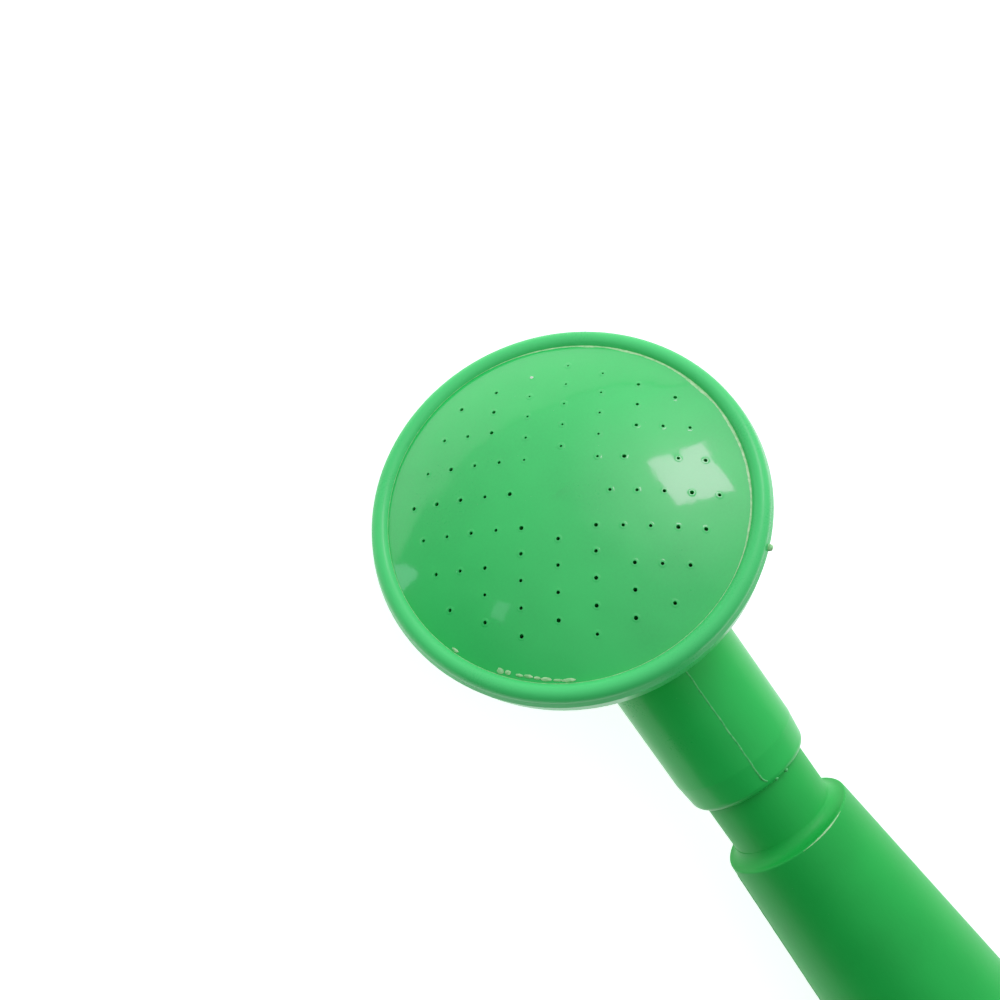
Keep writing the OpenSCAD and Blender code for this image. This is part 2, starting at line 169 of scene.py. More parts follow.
def add_world():
    """A dim bluish room, pale round the horizon and on the side the window is on."""
    world = bpy.data.worlds.new("studio")
    world.use_nodes = True
    n = Nodes(world.node_tree)
    way = n.node("ShaderNodeTexCoord").outputs["Generated"]
    parts = n.node("ShaderNodeSeparateXYZ")
    n.link(way, parts.inputs[0])
    facing = n.node("ShaderNodeVectorMath", operation="DOT_PRODUCT")
    n.link(way, facing.inputs[0])
    facing.inputs[1].default_value = compass(*WINDOW_AT)
    horizon = n.ramp(parts.outputs["Z"], 0.0, 0.5, SKY_HORIZON, 0)
    side = n.ramp(facing.outputs["Value"], -0.1, 1.0, 0, SKY_SIDE)
    halo = n.ramp(facing.outputs["Value"], 0.82, 1.0)
    total = n.maths("ADD", n.maths("ADD", horizon, side), n.maths("MULTIPLY", halo, SKY_HALO))
    total = n.maths("ADD", total, SKY_BASE)
    background = n.tree.nodes["Background"]
    n.link(n.mix(halo, SKY_COLOUR, HALO_COLOUR), background.inputs["Color"])
    n.link(total, background.inputs["Strength"])
    bpy.context.scene.world = world


def add_softbox(name, azimuth, elevation, size, power, colour, roll=0):
    """A rectangular light aimed at the rose from a compass direction, in degrees."""
    towards = compass(azimuth, elevation)
    side = UP.cross(towards).normalized()
    data = bpy.data.lights.new(name, "AREA")
    data.shape = "RECTANGLE"
    data.size, data.size_y = size
    data.energy = power
    data.color = colour
    light = bpy.data.objects.new(name, data)
    turned = Matrix.Rotation(math.radians(roll), 4, "Z")
    light.matrix_world = frame_at(ROSE.translation + SOFTBOX_AWAY * towards, towards, side) @ turned
    bpy.context.scene.collection.objects.link(light)


# ---------- meshes ----------

def linked(name, mesh, sharp=40):
    """An object of that mesh, shaded smooth but for edges sharper than that many degrees."""
    mesh.polygons.foreach_set("use_smooth", [True] * len(mesh.polygons))
    mesh.set_sharp_from_angle(angle=math.radians(sharp))
    mesh.update()
    piece = bpy.data.objects.new(name, mesh)
    bpy.context.scene.collection.objects.link(piece)
    return piece


def mesh_object(name, points, faces):
    """An object of those points and faces, with its normals turned outwards."""
    mesh = bpy.data.meshes.new(name)
    mesh.from_pydata([tuple(p) for p in points], [], faces)
    work = bmesh.new()
    work.from_mesh(mesh)
    bmesh.ops.recalc_face_normals(work, faces=work.faces)
    work.to_mesh(mesh)
    work.free()
    return linked(name, mesh)


def rounded_copy(node, radius):
    """A copy of a CAD node with its sharp edges rounded over."""
    work = bmesh.new()
    work.from_mesh(nodes[node].data)
    bmesh.ops.remove_doubles(work, verts=work.verts, dist=0.001 * MM)
    bmesh.ops.dissolve_limit(work, angle_limit=math.radians(1), verts=work.verts, edges=work.edges)
    bmesh.ops.dissolve_degenerate(work, edges=work.edges, dist=0.01 * MM)
    least = math.radians(35)
    sharp = [e for e in work.edges if len(e.link_faces) == 2 and e.calc_face_angle(0) > least]
    bmesh.ops.bevel(work, geom=sharp, offset=radius, offset_type="OFFSET", segments=3, profile=0.5,
                    affect="EDGES", clamp_overlap=True)
    mesh = bpy.data.meshes.new(node + "_rounded")
    work.to_mesh(mesh)
    work.free()
    return linked(node + "_rounded", mesh)


def grid_faces(rows, columns, close_rows=False, close_columns=True, start=0):
    """Quads over a grid of points, kept row after row."""
    faces = []
    for i in range(rows if close_rows else rows - 1):
        for j in range(columns if close_columns else columns - 1):
            i2, j2 = (i + 1) % rows, (j + 1) % columns
            corners = (i * columns + j, i * columns + j2, i2 * columns + j2, i2 * columns + j)
            faces.append(tuple(start + c for c in corners))
    return faces


# Cross-section of a ridge, as (share of the half width, share of the height)
RIDGE_SECTION = ((-1, -0.6), (-1, 0), (-0.75, 0.45), (-0.4, 0.85), (0, 1), (0.4, 0.85), (0.75, 0.45),
                 (1, 0), (1, -0.6))


def ridge_mesh(path, closed=False):
    """Points and faces of a low ridge. path holds (point, outward normal, half width, height)."""
    points = []
    count = len(path)
    for i, (point, normal, half_width, height) in enumerate(path):
        after = path[(i + 1) % count if closed else min(i + 1, count - 1)][0]
        before = path[(i - 1) % count if closed else max(i - 1, 0)][0]
        across = (after - before).normalized().cross(normal).normalized()
        for a, b in RIDGE_SECTION:
            points.append(point + a * half_width * across + b * height * normal)
    columns = len(RIDGE_SECTION)
    faces = grid_faces(count, columns, close_rows=closed)
    if not closed:
        faces.append(tuple(range(columns)))
        faces.append(tuple(range(len(points) - 1, len(points) - columns - 1, -1)))
    return points, faces


def joined(meshes):
    """The points and faces of several meshes as one mesh."""
    points, faces = [], []
    for more_points, more_faces in meshes:
        faces += [tuple(c + len(points) for c in face) for face in more_faces]
        points += more_points
    return points, faces


def softened_copy(node, voxel, rounds):
    """A copy of a CAD node remeshed finely and smoothed, so that every edge is well rounded."""
    work = bmesh.new()
    work.from_mesh(nodes[node].data)
    bmesh.ops.remove_doubles(work, verts=work.verts, dist=0.001 * MM)
    source = linked(node + "_source", bpy.data.meshes.new(node + "_source"))
    work.to_mesh(source.data)
    work.free()
    remesh = source.modifiers.new("remesh", "REMESH")
    remesh.mode = "VOXEL"
    remesh.voxel_size = voxel
    smooth = source.modifiers.new("smooth", "SMOOTH")
    smooth.factor = 0.5
    smooth.iterations = rounds
    depsgraph = bpy.context.evaluated_depsgraph_get()
    mesh = bpy.data.meshes.new_from_object(source.evaluated_get(depsgraph))
    bpy.data.objects.remove(source)
    return linked(node + "_softened", mesh, 180)


def finish_piece(piece, material, body, slot, *replaced):
    """Give a piece its material and its body, and hide the CAD nodes it stands for. slot is not used."""
    piece.data.materials.clear()
    piece.data.materials.append(material)
    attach(piece, body)
    if replaced:
        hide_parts(*replaced)
    return piece


# ---------- materials ----------

# The mix node's colour sockets: its two inputs and its output
COLOUR_A, COLOUR_B, COLOUR_OUT = 6, 7, 2


class Nodes:
    """Short calls for a node tree."""

    def __init__(self, tree):
        self.tree = tree

    def node(self, kind, **settings):
        node = self.tree.nodes.new(kind)
        for key, value in settings.items():
            setattr(node, key, value)
        return node

    def link(self, output, target):
        self.tree.links.new(output, target)

    def ramp(self, value, start, end, low=0.0, high=1.0):
        """value's stretch from start to end, turned into low to high."""
        node = self.node("ShaderNodeMapRange", clamp=True)
        for socket, number in zip(("From Min", "From Max", "To Min", "To Max"), (start, end, low, high)):
            node.inputs[socket].default_value = number
        self.link(value, node.inputs["Value"])
        return node.outputs["Result"]

    def maths(self, operation, a, b):
        node = self.node("ShaderNodeMath", operation=operation)
        for socket, value in zip(node.inputs, (a, b)):
            if isinstance(value, (int, float)):
                socket.default_value = value
            else:
                self.link(value, socket)
        return node.outputs[0]

    def mix(self, share, first, second):
        """A colour between two, each a colour or an output."""
        node = self.node("ShaderNodeMix", data_type="RGBA")
        self.link(share, node.inputs["Factor"])
        for socket, value in ((node.inputs[COLOUR_A], first), (node.inputs[COLOUR_B], second)):
            if isinstance(value, bpy.types.NodeSocket):
                self.link(value, socket)
            else:
                socket.default_value = (*value, 1)
        return node.outputs[COLOUR_OUT]


class Recipe(Nodes):
    """One material's node tree, with a Principled shader at its end and short calls for its patterns."""

    def __init__(self, name, **constants):
        self.material = bpy.data.materials.new(name)
        self.material.use_nodes = True
        super().__init__(self.material.node_tree)
        self.shader = self.tree.nodes["Principled BSDF"]
        self.place = self.node("ShaderNodeTexCoord").outputs["Object"]
        for socket, value in constants.items():
            self.shader.inputs[socket.replace("_", " ")].default_value = value

    def spread(self, stretch):
        """The place on the object, stretched: grain runs along the axis of the least number."""
        mapping = self.node("ShaderNodeMapping")
        mapping.inputs["Scale"].default_value = stretch
        self.link(self.place, mapping.inputs["Vector"])
        return mapping.outputs["Vector"]

    def noise(self, size_mm, detail=2.0, stretch=None):
        """Soft noise with features of about that size, from 0 to 1."""
        node = self.node("ShaderNodeTexNoise")
        node.inputs["Scale"].default_value = 1000 / size_mm
        node.inputs["Detail"].default_value = detail
        self.link(self.spread(stretch) if stretch else self.place, node.inputs["Vector"])
        return node.outputs["Fac"]

    def cells(self, size_mm, feature="F1"):
        """Distance to the nearest of a scatter of points that far apart."""
        node = self.node("ShaderNodeTexVoronoi", feature=feature)
        node.inputs["Scale"].default_value = 1000 / size_mm
        self.link(self.place, node.inputs["Vector"])
        return node.outputs["Distance"]

    def painted_rim_glow_mask(self):
        """1 on the rose's thick rim, where the painted glow goes, 0 on the socket."""
        height = self.node("ShaderNodeVectorMath", operation="DOT_PRODUCT")
        self.link(self.place, height.inputs[0])
        height.inputs[1].default_value = spray_axis
        back = spray_axis.dot(ROSE.translation) - SKIRT
        return self.ramp(height.outputs["Value"], back - 1 * MM, back + 1 * MM)

    def colour(self, output):
        self.link(output, self.shader.inputs["Base Color"])

    def roughness(self, output):
        self.link(output, self.shader.inputs["Roughness"])

    def bumps(self, *layers):
        """Bump layers, each (height from 0 to 1, depth in mm)."""
        normal = None
        for height, depth in layers:
            node = self.node("ShaderNodeBump")
            node.inputs["Distance"].default_value = depth * MM
            self.link(height, node.inputs["Height"])
            if normal:
                self.link(normal, node.inputs["Normal"])
            normal = node.outputs["Normal"]
        self.link(normal, self.shader.inputs["Normal"])
        if self.shader.inputs["Coat Weight"].default_value:
            self.link(normal, self.shader.inputs["Coat Normal"])


def shade(colour, factor):
    """The colour made darker or lighter."""
    return tuple(c * factor for c in colour)


DUST_GREY = 0.55


def moulded(name, colour, rough, grain, peel_depth, wave_depth, flow, rim=None, **constants):
    """Injection-moulded plastic: cloudy pigment, flow streaks, mould grain, scuffs and fine dust.

    grain is the size and depth of the mould's texture, and the depths are those of its orange peel and
    of its slow waves, all in mm. rim is a paler green painted on the rose's rim as glow and sheen,
    and constants go to the shader.
    """
    grain_mm, grain_depth = grain
    r = Recipe(name, **constants)
    cloud = r.noise(22, 3)
    streak = r.noise(1.6, 3, stretch=flow)
    texture = r.noise(grain_mm, 2)
    peel = r.noise(2.4, 1)
    scuff = r.ramp(r.noise(0.6, 2, stretch=(1, 0.06, 1)), 0.62, 0.72)
    worn = r.ramp(r.noise(9, 2), 0.56, 0.68)
    scuff = r.maths("MULTIPLY", scuff, worn)
    dust = r.ramp(r.cells(1.9), 0.03, 0.07, 1, 0)
    dust = r.maths("MULTIPLY", dust, r.ramp(r.noise(6, 1), 0.55, 0.7))
    base = r.mix(r.ramp(cloud, 0.3, 0.7), shade(colour, 0.93), shade(colour, 1.06))
    base = r.mix(r.ramp(streak, 0.35, 0.8, 0, 0.35), base, shade(colour, 1.12))
    dusty = tuple(0.6 * c + 0.4 * DUST_GREY for c in colour)
    base = r.mix(r.maths("MULTIPLY", dust, 0.25), base, dusty)
    # Painted glow and sheen: the rim gets a paler, bluer green that stands for light glowing through the
    # translucent plastic and for its sheen
    if rim:
        cloudy_painted_rim_glow = r.mix(r.ramp(cloud, 0.3, 0.7), shade(rim, 0.96), shade(rim, 1.04))
        base = r.mix(r.painted_rim_glow_mask(), base, cloudy_painted_rim_glow)
    r.colour(base)
    uneven = r.maths("ADD", r.ramp(texture, 0.3, 0.7, rough - 0.02, rough + 0.02),
                     r.ramp(cloud, 0.3, 0.7, -0.03, 0.03))
    r.roughness(r.maths("ADD", uneven, r.maths("MULTIPLY", scuff, 0.1)))
    r.bumps((r.noise(13, 1), wave_depth), (peel, peel_depth), (texture, grain_depth))
    return r.material


def flash_material(name, green, pale):
    """Thin flash and weld beads, where the plastic is stretched pale; its pale colour also paints a
    highlight on the barrel's shoulder.
    """
    r = Recipe(name)
    r.colour(r.mix(r.ramp(r.noise(0.9, 2), 0.35, 0.65), green, pale))
    r.roughness(r.ramp(r.noise(0.5, 2), 0.3, 0.7, 0.3, 0.5))
    r.bumps((r.noise(0.35, 2), 0.03))
    return r.material


def lime_material():
    """Hard-water scale: chalky and rough."""
    r = Recipe("lime_scale")
    r.colour(r.mix(r.noise(0.3, 3), (0.5, 0.66, 0.46), (0.82, 0.85, 0.74)))
    r.roughness(r.ramp(r.noise(0.2, 2), 0.3, 0.7, 0.6, 0.9))
    r.bumps((r.noise(0.15, 3), 0.08))
    return r.material


def rubber(name, colour, rough, pebble_mm, pebble_depth):
    """Soft rubber: a pebbled skin, dull on its tops, with dust in its hollows."""
    r = Recipe(name, Specular_IOR_Level=0.25)
    pebble = r.ramp(r.cells(pebble_mm), 0.05, 0.75, 1, 0)
    hollow = r.ramp(pebble, 0.15, 0.45, 1, 0)
    dust = r.maths("MULTIPLY", hollow, r.ramp(r.noise(14, 3), 0.45, 0.65))
    tone = r.mix(r.ramp(r.noise(30, 3), 0.3, 0.7), shade(colour, 0.8), shade(colour, 1.35))
    r.colour(r.mix(r.maths("MULTIPLY", dust, 0.15), tone, (0.1, 0.11, 0.09)))
    r.roughness(r.ramp(r.noise(3, 3), 0.3, 0.7, rough - 0.06, rough + 0.08))
    r.bumps((pebble, pebble_depth), (r.noise(0.25, 2), pebble_depth / 4))
    return r.material


def acetal_material():
    """Off-white acetal, smooth and a little cloudy."""
    r = Recipe("ball_acetal")
    r.colour(r.mix(r.noise(8, 3), (0.74, 0.74, 0.69), (0.82, 0.82, 0.78)))
    r.roughness(r.ramp(r.noise(0.8, 2), 0.3, 0.7, 0.2, 0.32))
    r.bumps((r.noise(0.6, 2), 0.004))
    return r.material


def steel(name, rough, stretch):
    """Stainless steel with fine turning or drawing lines."""
    r = Recipe(name, Metallic=1.0)
    lines = r.noise(0.5, 3, stretch=stretch)
    r.colour(r.mix(r.noise(4, 3), (0.33, 0.34, 0.35), (0.46, 0.46, 0.47)))
    r.roughness(r.ramp(lines, 0.3, 0.7, rough - 0.07, rough + 0.1))
    r.bumps((lines, 0.008))
    return r.material


def floor_material():
    """A pale floor that glows by itself, so that it stays white under the wand; less so far away."""
    r = Recipe("pale_floor", Roughness=0.9, Specular_IOR_Level=0.1)
    r.colour(r.mix(r.noise(300, 3), (0.68, 0.7, 0.72), (0.72, 0.74, 0.76)))
    r.shader.inputs["Emission Color"].default_value = (1, 1, 1, 1)
    away = r.node("ShaderNodeVectorMath", operation="LENGTH")
    r.link(r.place, away.inputs[0])
    glow = r.ramp(away.outputs["Value"], 0.7, 2.5, FLOOR_GLOW, FAR_FLOOR_GLOW)
    r.link(glow, r.shader.inputs["Emission Strength"])
    return r.material


FACE_GREEN = (0.012, 0.52, 0.085)
SHELL_GREEN = (0.018, 0.49, 0.075)
# Painted glow and sheen: a paler, bluer green for the rose's rim, standing for light glowing through the
# plastic and its sheen
RIM_PAINTED_GLOW_GREEN = (0.062, 0.62, 0.155)
BARREL_GREEN = (0.011, 0.425, 0.057)
DARK_GREEN = (0.006, 0.11, 0.034)
ALONG_WAND = (8, 0.35, 8)

materials = {
    "gloss_green": moulded(
        "gloss_green", FACE_GREEN, rough=0.32, grain=(0.6, 0.0006), peel_depth=0.008, wave_depth=0.26,
        flow=(3, 3, 3), Specular_IOR_Level=0.25, Coat_Weight=1.0, Coat_Roughness=0.07, Coat_IOR=1.5),
    "satin_green": moulded(
        "satin_green", SHELL_GREEN, rough=0.3, grain=(0.4, 0.001), peel_depth=0.006, wave_depth=0.06,
        flow=ALONG_WAND, rim=RIM_PAINTED_GLOW_GREEN, Specular_IOR_Level=0.22, Coat_Weight=0.1, Coat_Roughness=0.12),
    "matte_green": moulded(
        "matte_green", BARREL_GREEN, rough=0.45, grain=(0.35, 0.005), peel_depth=0.008, wave_depth=0.08,
        flow=ALONG_WAND, Specular_IOR_Level=0.25),
    "dark_green": moulded(
        "dark_green", DARK_GREEN, rough=0.42, grain=(0.5, 0.01), peel_depth=0.01, wave_depth=0.04,
        flow=ALONG_WAND, Specular_IOR_Level=0.2),
    "grip_rubber": rubber(
        "grip_rubber", (0.012, 0.018, 0.014), rough=0.6, pebble_mm=0.7, pebble_depth=0.03),
    "seal_rubber": rubber(
        "seal_rubber", (0.012, 0.012, 0.012), rough=0.45, pebble_mm=0.5, pebble_depth=0.01),
    "ball_acetal": acetal_material(),
    "screw_steel": steel("screw_steel", rough=0.36, stretch=(1, 1, 6)),
    "screen_steel": steel("screen_steel", rough=0.3, stretch=(1, 6, 6)),
}
flash = flash_material("flash_green", (0.2, 0.6, 0.2), (0.4, 0.7, 0.33))
weld = flash_material("weld_green", (0.04, 0.46, 0.1), (0.12, 0.6, 0.17))
lime = lime_material()


# ---------- rose ----------

def dome_height(r):
    """Height of the face's outside over the rim's widest ring, r from the rose's axis."""
    return DOME_RISE - DOME_R + math.sqrt(DOME_R ** 2 - r ** 2)


def hole_places():
    """The spray holes as (arm, row, number, x, y) in the rose's frame, the closed ones left out."""
    for arm in range(4):
        turn = Matrix.Rotation(FACE_CLOCK + arm * math.pi / 2, 2)
        spots = [((0, i), (ROW_STEP + HOLE_STEP * (i + 0.5), 0)) for i in range(5)]
        for side in (-1, 1):
            inner, outer = side * ROW_STEP, 2 * side * ROW_STEP
            spots += [((side, i), (ROW_STEP + HOLE_STEP * i, inner)) for i in range(1, 5)]
            spots += [((2 * side, i), (2 * ROW_STEP + HOLE_STEP * i, outer)) for i in (1, 2)]
        spots += [((3, i), (i * ROW_STEP, i * ROW_STEP)) for i in (1, 2, 3)]
        for (row, i), spot in spots:
            if (arm, row, i) not in CLOSED_HOLES:
                yield arm, row, i, *(turn @ Vector(spot))


def on_dome(x, y, height=0.0):
    """A point that high over the face, and the face's normal there, in the rose's frame."""
    surface = Vector((x, y, dome_height(math.hypot(x, y))))
    normal = (surface - Vector((0, 0, DOME_RISE - DOME_R))).normalized()
    return surface + height * normal, normal


def hole_lips():
    """The low burr round each hole, left by the mould's pins."""
    lip_r = 1.0 * MM
    sides = 20
    dice = random.Random(4)
    # The holes in a strip that runs this way from the middle of the face are half closed
    half_closed_side = Matrix.Rotation(math.radians(40), 2)
    meshes = []
    for _, _, _, x, y in hole_places():
        height = dice.uniform(0.02, 0.06) * MM
        across, ahead = half_closed_side @ Vector((x, y))
        half_closed = abs(across) < 12 * MM and ahead > 2 * MM
        open_r = HOLE_R * (dice.uniform(0.36, 0.5) if half_closed else dice.uniform(0.56, 0.78))
        rings = ((lip_r, -0.03 * MM), (0.8 * MM, 0.35 * height), (HOLE_R + 0.05 * MM, height),
                 (open_r, 0.6 * height), (open_r + 0.02 * MM, -0.5 * MM))
        points = []
        for r, h in rings:
            for k in range(sides):
                angle = 2 * math.pi * k / sides
                point, _ = on_dome(x + r * math.cos(angle), y + r * math.sin(angle), h)
                points.append(ROSE @ point)
        meshes.append((points, grid_faces(len(rings), sides)))
    piece = mesh_object("hole_lips", *joined(meshes))
    finish_piece(piece, materials["gloss_green"], "rose", "gloss_green")


def bump_at(angle, middle, half_width):
    """A smooth rise from 0 to 1 and back, round one clock angle in degrees."""
    away = (angle - middle + 180) % 360 - 180
    return max(0.0, 1 - (away / half_width) ** 2)


def face_joint():
    """The weld between face and bead: an uneven band of flash over nearly half of it, thin elsewhere."""
    count = 360
    path = []
    for i in range(count):
        angle = 360 * i / count
        a = math.radians(angle)
        wobble = noise.noise(Vector((6 * math.cos(a), 6 * math.sin(a), 0.3)))
        fine = noise.noise(Vector((40 * math.cos(a), 40 * math.sin(a), 1.7)))
        strength = bump_at(angle, 10, 75)
        half_width = (0.06 + (0.32 + 0.2 * wobble + 0.08 * fine) * strength) * MM
        height = (-0.06 + (0.12 + 0.04 * wobble + 0.03 * fine) * min(1.0, 2 * strength)) * MM
        r = FACE_R - half_width * 0.8
        point, normal = on_dome(r * math.cos(a), r * math.sin(a))
        path.append((ROSE @ point, (ROSE.to_3x3() @ normal), half_width, height))
    piece = mesh_object("face_joint", *ridge_mesh(path, closed=True))
    finish_piece(piece, flash, "rose", "gloss_green")


# Lumps of weld at the face's edge, in mm: clock angle in degrees, radius of its middle,
# half its width, half its length
WELD_LUMPS = ((197, 37.0, 0.3, 0.8), (213.3, 36.8, 0.6, 0.7), (215.8, 36.7, 0.5, 0.6),
              (219.6, 36.7, 0.3, 0.8), (222.4, 36.6, 0.36, 0.9), (225.2, 36.7, 0.3, 0.7),
              (228, 36.8, 0.4, 1.1), (231.6, 36.9, 0.24, 0.9), (235, 37.0, 0.4, 1.3))


def weld_lumps():
    """Pale lumps of weld along one side of the face's edge."""
    meshes = []
    for seed, (clock, r, half_width, half_length) in enumerate(WELD_LUMPS):
        a = math.radians(clock)
        point, normal = on_dome(r * MM * math.cos(a), r * MM * math.sin(a), 0.02 * MM)
        along = Vector((-math.sin(a), math.cos(a), 0))
        across = along.cross(normal)
        turn = Matrix((across, along, normal)).transposed()
        squash = ROSE.to_3x3() @ turn @ Matrix.Diagonal((half_width, half_length, 0.14))
        meshes.append(blob(ROSE @ point, MM, squash, seed))
    finish_piece(mesh_object("weld_lumps", *joined(meshes)), flash, "rose", "gloss_green")


def blob(centre, radius, squash, seed, rows=10, columns=16):
    """Points and faces of a small uneven lump, flattened along the axis of squash."""
    points = [centre + radius * squash @ Vector((0, 0, 1))]
    for i in range(1, rows):
        for j in range(columns):
            a, b = math.pi * i / rows, 2 * math.pi * j / columns
            way = Vector((math.sin(a) * math.cos(b), math.sin(a) * math.sin(b), math.cos(a)))
            swell = 1 + 0.35 * noise.noise(2.2 * way + Vector((seed, 0, 0)))
            points.append(centre + radius * swell * (squash @ way))
    points.append(centre - radius * squash @ Vector((0, 0, 1)))
    faces = grid_faces(rows - 1, columns, start=1)
    last = len(points) - 1
    faces += [(0, 1 + j, 1 + (j + 1) % columns) for j in range(columns)]
    faces += [(last, last - 1 - j, last - 1 - (j + 1) % columns) for j in range(columns)]
    return points, faces


def gate_burr():
    """What is left of the moulding gate, on the rim's outer edge."""
    angle = math.radians(-51)
    way = Vector((math.cos(angle), math.sin(angle), 0))
    centre = ROSE @ (way * (ROSE_R + 0.1 * MM) + Vector((0, 0, 0.3 * MM)))
    squash = ROSE.to_3x3() @ Matrix.Diagonal((1, 1, 0.8))
    piece = mesh_object("gate_burr", *blob(centre, 0.75 * MM, squash, 3))
    finish_piece(piece, flash, "rose", "satin_green")


def lime_plug():
    """Scale that has closed one hole."""
    for arm, row, i, x, y in hole_places():
        if (arm, row, i) == LIMED_HOLE:
            point, _ = on_dome(x, y, -0.15 * MM)
            squash = ROSE.to_3x3() @ Matrix.Diagonal((1, 1, 0.6))
            piece = mesh_object("lime_plug", *blob(ROSE @ point, 0.45 * MM, squash, 8))
            finish_piece(piece, lime, "rose", "gloss_green")


def parting_line():
    """The ridge that the two halves of the mould left along the socket."""
    clock = math.radians(-1.5)
    start, hook = 22 * MM, 3.2 * MM
    steps = 90
    path = []
    for i in range(steps + 1):
        z = start + (SOCKET_END - 1.6 * MM - start) * i / steps
        near_end = max(0.0, (z - SOCKET_END + hook) / hook)
        drawn_in = max(0.0, (z - SOCKET_END + 7 * MM) / (7 * MM)) * 0.55 * MM
        angle = clock + 0.2 * near_end ** 2 + 0.012 * noise.noise(Vector((z * 300, 0, 0)))
        normal = Vector((math.sin(angle), math.cos(angle), 0))
        wobble = noise.noise(Vector((z * 900, 3, 0)))
        half_width = (0.17 + 0.06 * wobble) * MM
        height = (0.07 + 0.06 * wobble) * MM
        point = normal * (SOCKET_R - drawn_in) + Vector((0, 0, z))
        path.append((SOCKET @ point, SOCKET.to_3x3() @ normal, half_width, height))
    meshes = [ridge_mesh(path)]
    for seed, (turned, back) in enumerate(((0.2, 0.5), (0.42, 0.3))):
        a = clock + turned
        place = Vector((math.sin(a), math.cos(a), 0)) * (SOCKET_R - 1.3 * MM)
        place.z = SOCKET_END - back * MM
        meshes.append(blob(SOCKET @ place, 0.42 * MM, SOCKET.to_3x3(), seed))
    finish_piece(mesh_object("parting_line", *joined(meshes)), weld, "rose", "satin_green")


# Outline of the shell's back, as (distance from the rose's axis, height)
BACK_PROFILE = [Vector(p) for p in (
    (0, DISH_Z), (DISH_R, DISH_Z), (FACE_R, -SKIRT), (ROSE_R - 1 * MM, -SKIRT), (ROSE_R, 0))]


def foot_on_back(point):
    """The point of the shell's back nearest to a point behind it, in the rose's frame."""
    flat = Vector((math.hypot(point.x, point.y), point.z))
    feet = []
    for start, end in zip(BACK_PROFILE, BACK_PROFILE[1:]):
        along = end - start
        share = min(1.0, max(0.0, (flat - start).dot(along) / along.length_squared))
        feet.append(start + share * along)
    r, z = min(feet, key=lambda foot: (foot - flat).length)
    return Vector((point.x / flat.x * r, point.y / flat.x * r, z))


def neck_fillet():
    """The hollow fillet between the socket and the shell's back: the path of a ball rolled round it."""
    ball, sections, steps = 2.2 * MM, 96, 8
    buried = 1.12
    to_rose = ROSE.inverted() @ SOCKET
    reach = SOCKET_R + ball

    def ball_at(clock, travel):
        """Middle of the ball touching the socket, that far along it, and where the two touch."""
        out = Vector((math.cos(clock), math.sin(clock), 0))
        bend = max(0.0, -travel / reach)
        way = math.cos(bend) * out - math.sin(bend) * Vector((0, 0, 1))
        middle = Vector((0, 0, max(0.0, travel)))
        return to_rose @ (middle + reach * way), to_rose @ (middle + SOCKET_R * way)

    def is_clear(clock, travel):
        """Whether the ball is still off the shell's back."""
        centre, _ = ball_at(clock, travel)
        return (foot_on_back(centre) - centre).length > ball

    points = []
    for i in range(sections):
        clock = 2 * math.pi * i / sections
        far, step = 50 * MM, 0.5 * MM
        while is_clear(clock, far):
            far -= step
        near, far = far, far + step
        for _ in range(20):
            middle = (near + far) / 2
            if is_clear(clock, middle):
                far = middle
            else:
                near = middle
        centre, foot_a = ball_at(clock, far)
        foot_b = foot_on_back(centre)
        a, b = (foot_a - centre).normalized(), (foot_b - centre).normalized()
        between = a.angle(b)
        for k in range(steps + 1):
            share = k / steps
            way = math.sin((1 - share) * between) * a + math.sin(share * between) * b
            points.append(ROSE @ (centre + ball * way / math.sin(between)))
        corner = centre + (a + b).normalized() * ball * buried / math.cos(between / 2)
        points.append(ROSE @ corner)
    faces = grid_faces(sections, steps + 2, close_rows=True)
    piece = mesh_object("neck_fillet", points, faces)
    finish_piece(piece, materials["satin_green"], "rose", "satin_green")


def ring_path(centre, normal, radius, half_width, height, count=28):
    """The path of a ridge round a circle."""
    side = normal.orthogonal().normalized()
    other = normal.cross(side)
    spots = [2 * math.pi * k / count for k in range(count)]
    return [(centre + radius * (math.cos(a) * side + math.sin(a) * other), normal, half_width, height)
            for a in spots]


def ejector_marks():
    """Rings left on the shell's back by the mould's ejector pins."""
    slope = (DISH_Z + SKIRT) / (DISH_R - FACE_R)
    pins_r, pin_r, half_width, height = 31 * MM, 1.6 * MM, 0.2 * MM, 0.12 * MM
    meshes = []
    for clock in (20, 90, 160, 222, 318):
        a = math.radians(clock)
        out = Vector((math.cos(a), math.sin(a), 0))
        place = out * pins_r + Vector((0, 0, DISH_Z + slope * (pins_r - DISH_R)))
        normal = (slope * out - Vector((0, 0, 1))).normalized()
        path = ring_path(ROSE @ place, ROSE.to_3x3() @ normal, pin_r, half_width, height)
        meshes.append(ridge_mesh(path, closed=True))
    piece = mesh_object("ejector_marks", *joined(meshes))
    finish_piece(piece, materials["satin_green"], "rose", "satin_green")


# ---------- barrel ----------

# Both ends of the barrel's cone, as (y, radius), and the rounded lip of its shoulder
TAPER = ((229 * MM, 22.42 * MM), (324 * MM, 15.1 * MM))
SHOULDER_Y = 326 * MM
SHOULDER_R = 14.95 * MM
LIP_R = 0.45 * MM


def barrel_parting():
    """The mould's parting lines along both sides of the barrel."""
    (y1, r1), (y2, r2) = TAPER
    lean = Vector((1, (r1 - r2) / (y2 - y1), 0)).normalized()
    steps = 120
    meshes = []
    for side in (-1, 1):
        path = []
        for i in range(steps + 1):
            share = i / steps
            wobble = noise.noise(Vector((share * 40, side, 0)))
            point = Vector((side * (r1 + (r2 - r1) * share), y1 + (y2 - y1) * share, 0))
            normal = Vector((side * lean.x, lean.y, 0))
            path.append((point, normal, (0.15 + 0.04 * wobble) * MM, (0.08 + 0.03 * wobble) * MM))
        meshes.append(ridge_mesh(path))
    piece = mesh_object("barrel_parting", *joined(meshes))
    finish_piece(piece, materials["matte_green"], "handle", "matte_green")


